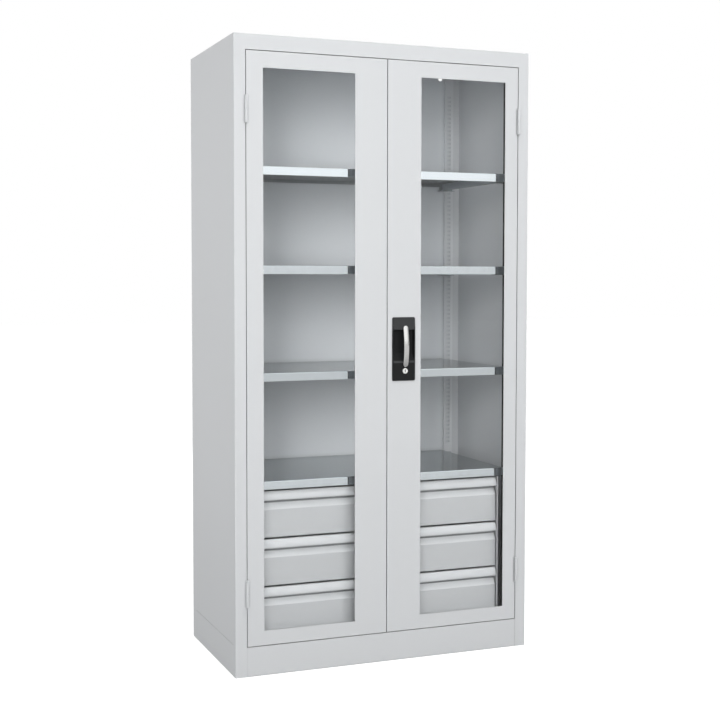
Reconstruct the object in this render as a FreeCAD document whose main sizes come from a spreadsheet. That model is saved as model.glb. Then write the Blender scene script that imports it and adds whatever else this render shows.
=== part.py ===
import FreeCAD, Part
import os
import re
import Sketcher

# Two-door steel cabinet, front facing -Y, standing on the XY plane, origin at the middle of its footprint

SIZES = {
    # folded case
    "case_width": 1000, "case_depth": 500, "case_height": 1950, "case_sheet": 1.5, "bend_radius": 2,
    "post_width": 36.5, "post_depth": 45, "flange_lap": 4, "return_gap": 2,
    "rail_height": 46.8, "rail_gap": 0.5, "rail_upstand": 22,
    "floor_height": 92.8, "floor_skirt": 25, "plinth_setback": 1,
    "seam_height": 98.8, "seam_width": 2.5, "seam_depth": 0.7, "seam_front": 23, "seam_rear": 45,
    "anchor_inset": 78, "anchor_drop": 13, "anchor_radius": 8,
    "glide_height": 2, "glide_radius": 12, "glide_inset": 21, "glide_chamfer": 0.8,
    # slotted uprights, shelves and clips
    "upright_inset": 62, "upright_width": 33, "upright_depth": 8.5,
    "slot_width": 14, "slot_height": 7, "slot_pitch": 15, "slot_gap": 27, "slot_margin": 60,
    "shelf_end_gap": 7, "shelf_setback": 32, "shelf_rear_gap": 4.5, "shelf_lip": 26, "shelf_return": 14,
    "shelf_rear_lip": 12, "shelf_sheet": 1.5, "shelf_case_gap": 0.5,
    "lower_bay": 334, "middle_bay": 329.5, "upper_bay": 302.5,
    "clip_sheet": 2, "clip_ledge": 29, "clip_tab_width": 29, "clip_depth": 22, "clip_tab_height": 18,
    # drawers and their case
    "drawer_pitch": 150, "drawer_gap": 6.5, "drawer_floor_gap": 25.2,
    "front_setback": 43, "front_thickness": 11, "lip_reach": 7, "lip_height": 26.8,
    "lip_top_radius": 8, "lip_bottom_radius": 5,
    "grip_depth": 7, "grip_bottom": 37.7, "slope_bottom": 55.9,
    "tray_drop": 33, "tray_rise": 5.5, "tray_sheet": 1.2, "tray_rear_gap": 15,
    "case_side_inset": 22.5, "front_end_gap": 2.5, "case_side_rise": 5, "case_side_flange": 5,
    "case_foot": 15, "case_rear_gap": 8.5, "runner_space": 15.5, "runner_height": 36, "runner_sheet": 1.5,
    "runner_clearance": 0.4, "runner_side_gap": 1.5, "runner_front_gap": 2,
    # doors
    "door_gap": 2, "centre_gap": 2, "door_depth": 20, "door_sheet": 1.5, "door_flange": 12,
    "door_radius": 1.2,
    "left_hinge_stile": 53.4, "left_lock_stile": 108, "right_hinge_stile": 46.2, "plate_stile": 20.2,
    "window_sill": 45.5, "window_head": 49.7,
    "pane_thickness": 4, "pane_overlap": 12, "frame_clearance": 0.3, "frame_sheet": 1.5, "frame_cover": 10,
    "strip_sheet": 1.5, "strip_overlap": 7, "strip_clearance": 1, "strip_end_gap": 5,
    # barrel hinges
    "hinge_radius": 5.3, "hinge_gap": 0.7, "hinge_length": 82, "hinge_head": 174.7, "hinge_sill": 164.7,
    "pin_radius": 2.6, "pin_clearance": 0.05, "pin_top_gap": 3, "knuckle_gap": 0.5,
    "leaf_thickness": 1.2, "leaf_depth": 15,
    # bow lever and handle plate
    "lever_height": 1061.8, "lever_length": 113.9, "lever_inset": 43.2, "lever_gap": 0.3,
    "bow_width": 17.5, "bow_thickness": 9, "bow_rise": 6.7, "bow_land": 0.3, "hub_radius": 8,
    "spindle_radius": 3.4, "spindle_clearance": 0.05,
    "plate_inset": 16.3, "plate_width": 78.7, "plate_head": 34.9, "plate_foot": 31.1,
    "plate_thickness": 4, "plate_corner": 3.4, "plate_rim": 2.2, "cut_gap": 0.3, "cut_margin": 2,
    "dish_rim": 3.5, "dish_depth": 13.5, "dish_slope": 30, "dish_wall": 1.2, "dish_floor": 1.5,
    "dish_round": 8, "hub_gap": 0.5,
    # rod lock
    "cam_radius": 18, "cam_thickness": 2, "cam_gap": 0.5, "cam_throw": 12, "cam_pin_radius": 3,
    "rod_width": 12, "rod_thickness": 3, "rod_gap": 0.5, "rod_end_gap": 1, "rod_wall": 4,
    "rod_clearance": 0.5,
    "cover_gap": 1, "cover_sheet": 1.5, "cover_margin": 1.8,
    "guide_height": 16, "guide_margin": 3, "guide_clearance": 0.4, "guide_end_inset": 121,
    "guide_cover_gap": 150,
    "keeper_length": 40, "keeper_width": 10, "keeper_sheet": 2, "keeper_clearance": 0.7, "keeper_gap": 0.5,
    "lock_gap": 3.8, "cylinder_radius": 8.55, "cylinder_reach": 2, "cylinder_clearance": 0.05,
    "keyhole_width": 2.4, "keyhole_height": 9, "keyhole_depth": 4,
    "tongue_length": 20, "tongue_width": 10, "tongue_thickness": 2, "tongue_gap": 6.7,
    "screw_inset": 7, "screw_radius": 3, "screw_head": 1.5, "screw_round": 1,
}

# Places worked out from the sizes; X is positive on the right-hand side of the case
PLACES = {
    # case
    "side_x": "case_width / 2", "front_y": "-case_depth / 2", "back_y": "case_depth / 2",
    "wall_x": "side_x - case_sheet", "post_x": "side_x - post_width", "post_end_y": "front_y + post_depth",
    "skin_y": "front_y + case_sheet", "back_face_y": "back_y - case_sheet",
    "roof_z": "case_height - case_sheet", "rail_z": "case_height - rail_height",
    "rail_end_y": "post_end_y - case_sheet - rail_gap",
    "plinth_y": "front_y + plinth_setback", "deck_z": "floor_height - case_sheet",
    "plinth_flange_y": "rod_mid_y - keeper_width / 2 - keeper_gap", "anchor_x": "side_x - anchor_inset",
    # uprights and shelves
    "upright_x": "side_x - upright_inset", "flange_x": "upright_x - flange_lap",
    "return_x": "upright_x + upright_width + return_gap",
    "rear_face_y": "back_face_y - upright_depth", "front_face_y": "post_end_y + upright_depth",
    "upright_mid_y": "(rear_face_y + front_face_y) / 2", "slot_x": "upright_x + upright_width / 2",
    "slot_start": "shelf_4_top + slot_gap",
    "slot_count": "floor((case_height - slot_margin - slot_start) / slot_pitch)",
    "shelf_x": "upright_x - shelf_end_gap", "shelf_y": "front_y + shelf_setback",
    "shelf_back_y": "back_face_y - shelf_rear_gap",
    "shelf_4_top": "case_top_z + shelf_case_gap + clip_sheet + shelf_lip",
    "shelf_3_top": "shelf_4_top + lower_bay", "shelf_2_top": "shelf_3_top + middle_bay",
    "shelf_1_top": "shelf_2_top + upper_bay",
    # drawers
    "front_height": "drawer_pitch - drawer_gap",
    "drawer_3_top": "floor_height + drawer_floor_gap + front_height",
    "drawer_2_top": "drawer_3_top + drawer_pitch", "drawer_1_top": "drawer_2_top + drawer_pitch",
    "face_y": "front_y + front_setback", "front_back_y": "face_y + front_thickness",
    "lip_y": "face_y - lip_reach", "grip_y": "face_y + grip_depth",
    "case_side_x": "upright_x - case_side_inset", "case_top_z": "drawer_1_top + case_side_rise",
    "case_end_y": "back_face_y - case_rear_gap", "front_x": "case_side_x - front_end_gap",
    "tray_x": "case_side_x - runner_space", "tray_end_y": "case_end_y - tray_rear_gap",
    "tray_height": "front_height - tray_drop - tray_rise", "runner_y": "front_back_y + runner_front_gap",
    "rail_half": "runner_height / 2", "slide_half": "rail_half - runner_sheet - runner_clearance",
    "slide_x": "case_side_x - runner_sheet - runner_side_gap",
    # doors and hinges
    "door_x": "post_x - door_gap", "meet_x": "centre_gap / 2", "door_back_y": "front_y + door_depth",
    "door_low": "floor_height + door_gap", "door_high": "rail_z - door_gap",
    "door_skin_y": "front_y + door_sheet", "pane_y": "door_skin_y + pane_thickness",
    "window_low": "door_low + window_sill", "window_high": "door_high - window_head",
    "hinge_x": "post_x - door_gap / 2", "hinge_y": "front_y - hinge_radius - hinge_gap",
    "hinge_half": "hinge_length / 2", "hinge_upper": "door_high - hinge_head",
    "hinge_lower": "door_low + hinge_sill",
    # lever, plate and dish
    "plate_left": "meet_x + plate_inset", "plate_right": "plate_left + plate_width",
    "plate_top": "lever_height + plate_head", "plate_bottom": "lock_z - plate_foot",
    "plate_y": "front_y - plate_thickness", "lever_x": "plate_left + lever_inset",
    "lock_z": "lever_height - lever_length - bow_width / 2 - cylinder_radius - lock_gap",
    "dish_left": "plate_left + dish_rim", "dish_right": "plate_right - dish_rim",
    "dish_top": "lever_height - spindle_radius - hub_gap - dish_wall",
    "dish_bottom": "lock_z + tongue_length + tongue_gap + dish_wall",
    "dish_y": "plate_y + dish_depth", "cup_y": "dish_y + dish_floor",
    "lever_y": "plate_y - lever_gap", "bow_end_y": "lever_y - bow_thickness / 2",
    "bow_mid_y": "bow_end_y - bow_rise", "bow_mid_z": "lever_height - lever_length / 2",
    "bow_radius": "(lever_length * lever_length / 4 + bow_rise * bow_rise) / (2 * bow_rise)",
    "bow_edge": "bow_thickness / 2 - bow_land",
    # rod lock
    "cam_y": "cup_y + cam_gap", "cam_back_y": "cam_y + cam_thickness", "rod_y": "cam_back_y + rod_gap",
    "rod_back_y": "rod_y + rod_thickness", "rod_mid_y": "(rod_y + rod_back_y) / 2",
    "cover_y": "rod_back_y + cover_gap", "cover_back_y": "cover_y + cover_sheet",
    "pin_step": "cam_throw * sqrt(0.5)", "slot_half": "cam_pin_radius + rod_clearance",
    "slot_near": "pin_step - slot_half", "slot_far": "cam_throw + slot_half",
    "rod_step": "(slot_near + slot_far) / 2", "slot_reach": "(slot_far - slot_near) / 2",
    "upper_rod_x": "lever_x + rod_step", "lower_rod_x": "lever_x - rod_step",
    "cover_left": "plate_left - cover_margin", "cover_right": "plate_right + cover_margin",
    "cover_low": "plate_bottom - cover_margin", "cover_high": "plate_top + cover_margin",
    "tongue_y": "rod_y - rod_gap - cover_gap",
}

WORD = re.compile(r"[a-z][a-z_0-9]*")
FUNCTIONS = ("floor", "sqrt", "asin")
SHELVES = ("shelf_1", "shelf_2", "shelf_3", "shelf_4")
DRAWERS = ("drawer_1", "drawer_2", "drawer_3")

doc = FreeCAD.newDocument("cabinet")
sizes = doc.addObject("Spreadsheet::Sheet", "Sizes")
for row, (alias, amount) in enumerate(SIZES.items(), 1):
    sizes.set(f"A{row}", alias)
    sizes.set(f"B{row}", str(amount))
    sizes.setAlias(f"B{row}", alias)
doc.recompute()

nodes = []


def bound(text):
    """A phrase of size and place names as an expression on the sheet."""
    def name(match):
        word = match.group()
        if word in PLACES:
            return f"({bound(PLACES[word])})"
        return word if word in FUNCTIONS else f"Sizes.{word}"
    return WORD.sub(name, text)


def number(text):
    """The present value of such a phrase."""
    return float(sizes.evalExpression(bound(text)))


def keep(thing):
    """Mark an object as a piece of the cabinet, to be written under its label."""
    nodes.append(thing)
    return thing


def new_body(label):
    body = doc.addObject("PartDesign::Body", label)
    body.Label = label
    return body


def rectangle(low_x, high_x, low_y, high_y):
    return [(low_x, low_y), (high_x, low_y), (high_x, high_y), (low_x, high_y)]


def ring(low_x, high_x, low_y, high_y, inset):
    """The same rectangle moved inwards by an inset on all sides."""
    return rectangle(f"{low_x} + ({inset})", f"{high_x} - ({inset})",
                     f"{low_y} + ({inset})", f"{high_y} - ({inset})")


def pin_down(sketch, element, vertex, place_x, place_y):
    """Hold one point of a sketch at its two bound distances from the origin."""
    for kind, place in (("DistanceX", place_x), ("DistanceY", place_y)):
        rule = Sketcher.Constraint(kind, -1, 1, element, vertex, number(place))
        index = sketch.addConstraint(rule)
        sketch.setExpression(f"Constraints[{index}]", bound(place))


def draw_outline(sketch, points):
    """A closed outline of straight edges, every corner bound to the sheet."""
    spots = [FreeCAD.Vector(number(x), number(y), 0) for x, y in points]
    first = sketch.GeometryCount
    for start, end in zip(spots, spots[1:] + spots[:1]):
        sketch.addGeometry(Part.LineSegment(start, end))
    for step, (x, y) in enumerate(points):
        following = first + (step + 1) % len(points)
        sketch.addConstraint(Sketcher.Constraint("Coincident", first + step, 2, following, 1))
        pin_down(sketch, first + step, 1, x, y)


def draw_circle(sketch, x, y, radius):
    centre = FreeCAD.Vector(number(x), number(y), 0)
    element = sketch.addGeometry(Part.Circle(centre, FreeCAD.Vector(0, 0, 1), number(radius)))
    index = sketch.addConstraint(Sketcher.Constraint("Radius", element, number(radius)))
    sketch.setExpression(f"Constraints[{index}]", bound(radius))
    pin_down(sketch, element, 3, x, y)


def new_sketch(body, plane, place, outlines=(), circles=()):
    """A sketch parallel to an origin plane, at a place along the axis that the plane lacks."""
    role = f"{plane.upper()}_Plane"
    sketch = body.newObject("Sketcher::SketchObject", "outline")
    support = next(item for item in body.Origin.OriginFeatures if item.Role == role)
    sketch.AttachmentSupport = [(support, "")]
    sketch.MapMode = "FlatFace"
    sign = "-" if plane == "xz" else ""
    sketch.setExpression("AttachmentOffset.Base.z", f"{sign}({bound(place)})")
    for points in outlines:
        draw_outline(sketch, points)
    for x, y, radius in circles:
        draw_circle(sketch, x, y, radius)
    return sketch


def sweep_outlines(kind, body, plane, low, high, outlines, circles):
    """Pad or pocket the outlines between two places along the axis that the plane lacks."""
    from_high = (kind == "Pad") == (plane == "xz")
    feature = body.newObject(f"PartDesign::{kind}", kind.lower())
    feature.Profile = new_sketch(body, plane, high if from_high else low, outlines, circles)
    feature.setExpression("Length", f"({bound(high)}) - ({bound(low)})")
    return feature


def add(body, plane, low, high, *outlines, circles=()):
    return sweep_outlines("Pad", body, plane, low, high, outlines, circles)


def cut(body, plane, low, high, *outlines, circles=()):
    """A pocket, which must take something away."""
    doc.recompute()
    before = body.Shape.Volume
    pocket = sweep_outlines("Pocket", body, plane, low, high, outlines, circles)
    doc.recompute()
    if pocket.Shape.Volume >= before:
        raise ValueError(f"a pocket of {body.Label} cuts nothing")
    return pocket


def soften(body, kind, amount, chosen):
    """Fillet or chamfer the edges of a body that a test on their middle point picks."""
    doc.recompute()
    tip = body.Tip
    names = []
    for index, edge in enumerate(tip.Shape.Edges, 1):
        middle = edge.valueAt((edge.FirstParameter + edge.LastParameter) / 2)
        if chosen(edge, middle):
            names.append(f"Edge{index}")
    feature = body.newObject(f"PartDesign::{kind}", kind.lower())
    feature.Base = (tip, names)
    feature.setExpression("Radius" if kind == "Fillet" else "Size", bound(amount))
    return feature


def near(value, place):
    return abs(value - number(place)) < 0.01


def runs_along(edge, axis):
    straight = edge.Curve.TypeId == "Part::GeomLine"
    return straight and abs(edge.tangentAt(edge.FirstParameter).dot(axis)) > 0.999


def mirrored(label, source, normal, base_y="0 * case_sheet"):
    """The other hand of a piece, on the far side of the middle plane or of a plane across the depth."""
    twin = doc.addObject("Part::Mirroring", label)
    twin.Label = label
    twin.Source = source
    twin.Normal = normal
    twin.setExpression("Base.y", bound(base_y))
    return twin


def group(label, copies):
    """Like pieces as one node of separate solids: each copy is a source and its lift along Z."""
    links = []
    for index, (source, lift) in enumerate(copies, 1):
        link = doc.addObject("App::Link", f"{label}_copy_{index}")
        link.LinkedObject = source
        link.setExpression("Placement.Base.z", bound(lift))
        links.append(link)
    bundle = doc.addObject("Part::Compound", label)
    bundle.Label = label
    bundle.Links = links
    return bundle


AXIS_X = FreeCAD.Vector(1, 0, 0)
AXIS_Y = FreeCAD.Vector(0, 1, 0)
AXIS_Z = FreeCAD.Vector(0, 0, 1)

# Side panels: one folded sheet each, with a box post in front and a return for the back panel
left_side = keep(new_body("left_side_panel"))
add(left_side, "xy", "glide_height", "case_height", [
    ("-side_x", "front_y"), ("-post_x", "front_y"), ("-post_x", "post_end_y - case_sheet"),
    ("-flange_x", "post_end_y - case_sheet"), ("-flange_x", "post_end_y"),
    ("-post_x - case_sheet", "post_end_y"), ("-post_x - case_sheet", "skin_y"), ("-wall_x", "skin_y"),
    ("-wall_x", "back_face_y - case_sheet"), ("-return_x", "back_face_y - case_sheet"),
    ("-return_x", "back_face_y"), ("-wall_x", "back_face_y"),
    ("-wall_x", "back_y"), ("-side_x", "back_y")])
add(left_side, "xy", "glide_height", "glide_height + case_sheet",
    rectangle("-wall_x", "-post_x - case_sheet", "skin_y", "post_end_y"))
add(left_side, "xy", "glide_height", "glide_height + case_sheet",
    rectangle("-wall_x", "-post_x", "back_y - post_depth", "back_face_y - case_sheet"))
cut(left_side, "xy", "roof_z", "case_height",
    rectangle("-wall_x", "-flange_x", "skin_y", "back_face_y"))
cut(left_side, "xy", "glide_height", "floor_height",
    rectangle("-post_x", "-flange_x", "post_end_y - case_sheet", "post_end_y"))
cut(left_side, "yz", "-side_x", "-side_x + seam_depth",
    rectangle("front_y + seam_front", "back_y - seam_rear", "seam_height", "seam_height + seam_width"))
soften(left_side, "Fillet", "bend_radius", lambda edge, middle: runs_along(edge, AXIS_Z)
       and near(middle.y, "front_y") and near(abs(middle.x), "side_x"))
keep(mirrored("right_side_panel", left_side, AXIS_X))

# Back panel, with two holes for wall anchors near its top corners
back_panel = keep(new_body("back_panel"))
add(back_panel, "xz", "back_face_y", "back_y",
    rectangle("-wall_x", "wall_x", "glide_height", "case_height"), circles=[
        (f"{sign}anchor_x", "case_height - anchor_drop", "anchor_radius") for sign in ("-", "")])

# Top panel: roof sheet with a folded front rail that has a return and an upstand
top_panel = keep(new_body("top_panel"))
add(top_panel, "xy", "roof_z", "case_height", rectangle("-wall_x", "wall_x", "skin_y", "back_face_y"))
add(top_panel, "yz", "-post_x", "post_x", [
    ("front_y", "rail_z"), ("rail_end_y", "rail_z"), ("rail_end_y", "rail_z + rail_upstand"),
    ("rail_end_y - case_sheet", "rail_z + rail_upstand"),
    ("rail_end_y - case_sheet", "rail_z + case_sheet"), ("skin_y", "rail_z + case_sheet"),
    ("skin_y", "case_height"), ("front_y", "case_height")])


def rod_hole(rod_x, clearance):
    """The outline of a lock rod with room around it."""
    return rectangle(f"{rod_x} - rod_width / 2 - {clearance}", f"{rod_x} + rod_width / 2 + {clearance}",
                     f"rod_y - {clearance}", f"rod_back_y + {clearance}")


cut(top_panel, "xy", "rail_z", "rail_z + case_sheet", rod_hole("upper_rod_x", "keeper_clearance"))

# Bottom panel: the floor between the posts, with skirts down the side walls
bottom_panel = keep(new_body("bottom_panel"))
add(bottom_panel, "xy", "deck_z", "floor_height", [
    ("-post_x", "plinth_y"), ("post_x", "plinth_y"), ("post_x", "post_end_y"), ("wall_x", "post_end_y"),
    ("wall_x", "back_face_y - case_sheet"), ("-wall_x", "back_face_y - case_sheet"),
    ("-wall_x", "post_end_y"), ("-post_x", "post_end_y")])
for low_x, high_x in (("-wall_x", "-wall_x + case_sheet"), ("wall_x - case_sheet", "wall_x")):
    add(bottom_panel, "xy", "floor_height - floor_skirt", "deck_z",
        rectangle(low_x, high_x, "post_end_y", "back_face_y - case_sheet"))
cut(bottom_panel, "xy", "deck_z", "floor_height", rod_hole("lower_rod_x", "keeper_clearance"))

# Plinth front, set back a little from the posts
plinth = keep(new_body("plinth_front"))
add(plinth, "yz", "-post_x", "post_x", [
    ("plinth_y", "glide_height"), ("plinth_y + case_sheet", "glide_height"),
    ("plinth_y + case_sheet", "deck_z - case_sheet"), ("plinth_flange_y", "deck_z - case_sheet"),
    ("plinth_flange_y", "deck_z"), ("plinth_y", "deck_z")])

# Floor glides under the four corners
glides = []
for glide_y in ("front_y + glide_inset", "back_y - glide_inset"):
    glide = new_body("glide_shape")
    add(glide, "xy", "0 * glide_height", "glide_height",
        circles=[("side_x - glide_inset", glide_y, "glide_radius")])
    soften(glide, "Chamfer", "glide_chamfer", lambda edge, middle: abs(middle.z) < 0.01)
    glides += [glide, mirrored("glide_twin", glide, AXIS_X)]
keep(group("floor_glides", [(glide, "0 * glide_height") for glide in glides]))

# Slotted uprights in the four inner corners
rear_upright = keep(new_body("right_rear_upright"))
add(rear_upright, "xy", "floor_height", "roof_z", [
    ("upright_x", "rear_face_y"), ("upright_x + upright_width", "rear_face_y"),
    ("upright_x + upright_width", "back_face_y"), ("upright_x + upright_width - case_sheet", "back_face_y"),
    ("upright_x + upright_width - case_sheet", "rear_face_y + case_sheet"),
    ("upright_x + case_sheet", "rear_face_y + case_sheet"), ("upright_x + case_sheet", "back_face_y"),
    ("upright_x", "back_face_y")])
slot = cut(rear_upright, "xz", "rear_face_y", "rear_face_y + case_sheet", rectangle(
    "slot_x - slot_width / 2", "slot_x + slot_width / 2", "slot_start", "slot_start + slot_height"))
slots = rear_upright.newObject("PartDesign::LinearPattern", "slots")
slots.Originals = [slot]
slots.Direction = (next(item for item in rear_upright.Origin.OriginFeatures if item.Role == "Z_Axis"), [""])
slots.setExpression("Length", f"({bound('slot_count')} - 1) * Sizes.slot_pitch")
slots.setExpression("Occurrences", bound("slot_count"))
rear_upright.Tip = slots
front_upright = keep(mirrored("right_front_upright", rear_upright, AXIS_Y, "upright_mid_y"))
keep(mirrored("left_rear_upright", rear_upright, AXIS_X))
keep(mirrored("left_front_upright", front_upright, AXIS_X))

# Shelves: galvanised trays folded down on all four sides, with a return along the bottom; between its
# corners the rear lip is cut lower and has no return
for shelf in SHELVES:
    tray = keep(new_body(shelf))
    top = f"{shelf}_top"
    plan = ("-shelf_x", "shelf_x", "shelf_y", "shelf_back_y")
    add(tray, "xy", f"{top} - shelf_lip", top, rectangle(*plan))
    cut(tray, "xy", f"{top} - shelf_lip + shelf_sheet", f"{top} - shelf_sheet", ring(*plan, "shelf_sheet"))
    cut(tray, "xy", f"{top} - shelf_lip", f"{top} - shelf_lip + shelf_sheet", ring(*plan, "shelf_return"))
    cut(tray, "xy", f"{top} - shelf_lip", f"{top} - shelf_rear_lip", rectangle(
        "-shelf_x + shelf_return", "shelf_x - shelf_return", "shelf_back_y - shelf_return", "shelf_back_y"))
    soften(tray, "Fillet", "bend_radius", lambda edge, middle: runs_along(edge, AXIS_X)
           and near(middle.y, "shelf_y") and near(middle.z, top))

# Shelf clips: a tab against the upright and a ledge under the shelf's corner
clip = new_body("clip_shape")
add(clip, "xy", "-clip_sheet", "0 * clip_sheet", rectangle(
    "upright_x - clip_ledge", "upright_x + clip_tab_width", "rear_face_y - clip_depth", "rear_face_y"))
add(clip, "xy", "0 * clip_sheet", "clip_tab_height", rectangle(
    "upright_x", "upright_x + clip_tab_width", "rear_face_y - clip_sheet", "rear_face_y"))
front_clip = mirrored("front_clip_shape", clip, AXIS_Y, "upright_mid_y")
clips = [clip, front_clip, mirrored("left_clip_shape", clip, AXIS_X),
         mirrored("left_front_clip_shape", front_clip, AXIS_X)]
keep(group("shelf_clips", [(hand, f"{shelf}_top - shelf_lip") for shelf in SHELVES for hand in clips]))

# Drawer case: two side plates with a narrow front flange and a foot, and a back plate
right_case = new_body("drawer_case_right")
add(right_case, "xy", "floor_height", "case_top_z", [
    ("case_side_x", "post_end_y - case_sheet"),
    ("case_side_x + case_side_flange", "post_end_y - case_sheet"),
    ("case_side_x + case_side_flange", "post_end_y"), ("case_side_x + case_sheet", "post_end_y"),
    ("case_side_x + case_sheet", "case_end_y"), ("case_side_x", "case_end_y")])
add(right_case, "xy", "floor_height", "floor_height + case_sheet", rectangle(
    "case_side_x + case_sheet", "case_side_x + case_foot", "front_face_y", "rear_face_y - clip_depth"))
keep(right_case)
keep(mirrored("drawer_case_left", right_case, AXIS_X))
case_back = keep(new_body("drawer_case_back"))
add(case_back, "xz", "case_end_y - case_sheet", "case_end_y",
    rectangle("-case_side_x", "case_side_x", "floor_height", "case_top_z"))

# Fixed runners: channels on the case sides, open towards the drawers, drawn about their own mid-height
channel = new_body("channel_shape")
add(channel, "xz", "runner_y", "case_end_y - case_sheet", [
    ("case_side_x", "-rail_half"), ("case_side_x", "rail_half"),
    ("tray_x + 2 * runner_sheet", "rail_half"), ("tray_x + 2 * runner_sheet", "rail_half - runner_sheet"),
    ("case_side_x - runner_sheet", "rail_half - runner_sheet"),
    ("case_side_x - runner_sheet", "-rail_half + runner_sheet"),
    ("tray_x + 2 * runner_sheet", "-rail_half + runner_sheet"),
    ("tray_x + 2 * runner_sheet", "-rail_half")])
channels = (channel, mirrored("left_channel_shape", channel, AXIS_X))
slide = new_body("slide_shape")
add(slide, "xz", "runner_y", "tray_end_y", [
    ("tray_x", "-slide_half"), ("slide_x", "-slide_half"), ("slide_x", "-slide_half + runner_sheet"),
    ("tray_x + runner_sheet", "-slide_half + runner_sheet"),
    ("tray_x + runner_sheet", "slide_half - runner_sheet"),
    ("slide_x", "slide_half - runner_sheet"), ("slide_x", "slide_half"), ("tray_x", "slide_half")])
slides = (slide, mirrored("left_slide_shape", slide, AXIS_X))
fixed = []

# Drawers: a pressed front with a round grip lip, a folded tray and a pair of slides each
for drawer in DRAWERS:
    top = f"{drawer}_top"
    front = keep(new_body(f"{drawer}_front"))
    add(front, "yz", "-front_x", "front_x", [
        ("front_back_y", top), ("lip_y", top), ("lip_y", f"{top} - lip_height"),
        ("grip_y", f"{top} - lip_height"), ("grip_y", f"{top} - grip_bottom"),
        ("face_y", f"{top} - slope_bottom"), ("face_y", f"{top} - front_height"),
        ("front_back_y", f"{top} - front_height")])
    soften(front, "Fillet", "lip_top_radius",
           lambda edge, middle: near(middle.y, "lip_y") and near(middle.z, top))
    soften(front, "Fillet", "lip_bottom_radius",
           lambda edge, middle: near(middle.y, "lip_y") and near(middle.z, f"{top} - lip_height"))
    tray = keep(new_body(f"{drawer}_tray"))
    plan = ("-tray_x", "tray_x", "front_back_y", "tray_end_y")
    rim = f"{top} - tray_drop"
    add(tray, "xy", f"{rim} - tray_height", rim, rectangle(*plan))
    cut(tray, "xy", f"{rim} - tray_height + tray_sheet", rim, ring(*plan, "tray_sheet"))
    lift = f"{rim} - tray_height / 2"
    keep(group(f"{drawer}_slides", [(hand, lift) for hand in slides]))
    fixed += [(hand, lift) for hand in channels]
keep(group("fixed_runners", fixed))


def door_shell(label, low_x, high_x, window):
    """A folded door: skin, four edges turned back, an inner flange and a window."""
    door = keep(new_body(label))
    face = (low_x, high_x, "door_low", "door_high")
    add(door, "xz", "front_y", "door_back_y", rectangle(*face))
    cut(door, "xz", "door_skin_y", "door_back_y - door_sheet", ring(*face, "door_sheet"))
    cut(door, "xz", "door_back_y - door_sheet", "door_back_y", ring(*face, "door_flange"))
    cut(door, "xz", "front_y", "door_skin_y", rectangle(*window))
    return door


def round_door(door):
    """The bends around the door's face."""
    soften(door, "Fillet", "door_radius", lambda edge, middle: near(middle.y, "front_y") and (
        near(abs(middle.x), "door_x") or near(abs(middle.x), "meet_x")
        or near(middle.z, "door_low") or near(middle.z, "door_high")))


def pane_and_frame(side, window):
    """A clear pane behind the window, and the folded frame that holds it to the skin."""
    pane = keep(new_body(f"{side}_pane"))
    add(pane, "xz", "door_skin_y", "pane_y", ring(*window, "-pane_overlap"))
    frame = keep(new_body(f"{side}_pane_frame"))
    outer = ring(*window, "-pane_overlap - frame_clearance - frame_sheet")
    add(frame, "xz", "door_skin_y", "pane_y + frame_sheet",
        outer, ring(*window, "-pane_overlap - frame_clearance"))
    add(frame, "xz", "pane_y", "pane_y + frame_sheet", outer, ring(*window, "-pane_overlap + frame_cover"))


# Left door, passive, with the meeting strip that lies behind the right door's edge
left_window = ("-door_x + left_hinge_stile", "-meet_x - left_lock_stile", "window_low", "window_high")
left_door = door_shell("left_door", "-door_x", "-meet_x", left_window)
round_door(left_door)
pane_and_frame("left", left_window)
strip = keep(new_body("meeting_strip"))
add(strip, "xy", "door_low + strip_end_gap", "door_high - strip_end_gap", [
    ("-meet_x - door_flange", "door_back_y"), ("-meet_x - strip_clearance", "door_back_y"),
    ("-meet_x", "door_back_y + strip_clearance"),
    ("meet_x + strip_overlap", "door_back_y + strip_clearance"),
    ("meet_x + strip_overlap", "door_back_y + strip_clearance + strip_sheet"),
    ("-meet_x - strip_sheet / 2", "door_back_y + strip_clearance + strip_sheet"),
    ("-meet_x - strip_clearance - strip_sheet / 2", "door_back_y + strip_sheet"),
    ("-meet_x - door_flange", "door_back_y + strip_sheet")])

# Right door, active, with a cut-out for the handle and holes for the rods
right_window = ("plate_right + plate_stile", "door_x - right_hinge_stile", "window_low", "window_high")
right_door = door_shell("right_door", "meet_x", "door_x", right_window)
cut(right_door, "xz", "front_y", "door_skin_y", rectangle(
    "dish_left - dish_wall - cut_gap", "dish_right + dish_wall + cut_gap",
    "lock_z - cylinder_radius - cut_margin", "lever_height + spindle_radius + cut_margin"))
cut(right_door, "xy", "door_high - door_sheet", "door_high", rod_hole("upper_rod_x", "rod_clearance"))
cut(right_door, "xy", "door_low", "door_low + door_sheet", rod_hole("lower_rod_x", "rod_clearance"))
round_door(right_door)
pane_and_frame("right", right_window)

# Barrel hinges: frame knuckle below, door knuckle above, on a fixed pin; each has a leaf in the door gap
heights = ("hinge_lower", "hinge_upper")
knuckle_spans = {"frame": ("-hinge_half", "-knuckle_gap / 2"), "door": ("knuckle_gap / 2", "hinge_half")}
leaf_edges = {"frame": ("post_x - leaf_thickness", "post_x"), "door": ("door_x", "door_x + leaf_thickness")}
for owner, (low, high) in knuckle_spans.items():
    knuckle = new_body(f"{owner}_knuckle_shape")
    add(knuckle, "xy", low, high, circles=[("hinge_x", "hinge_y", "hinge_radius")])
    add(knuckle, "xy", low, high,
        rectangle(*leaf_edges[owner], "hinge_y + pin_radius", "front_y + leaf_depth"))
    cut(knuckle, "xy", low, high, circles=[("hinge_x", "hinge_y", "pin_radius + pin_clearance")])
    keep(group(f"right_{owner}_knuckles", [(knuckle, height) for height in heights]))
    twin = mirrored(f"left_{owner}_knuckle_shape", knuckle, AXIS_X)
    keep(group(f"left_{owner}_knuckles", [(twin, height) for height in heights]))
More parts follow.
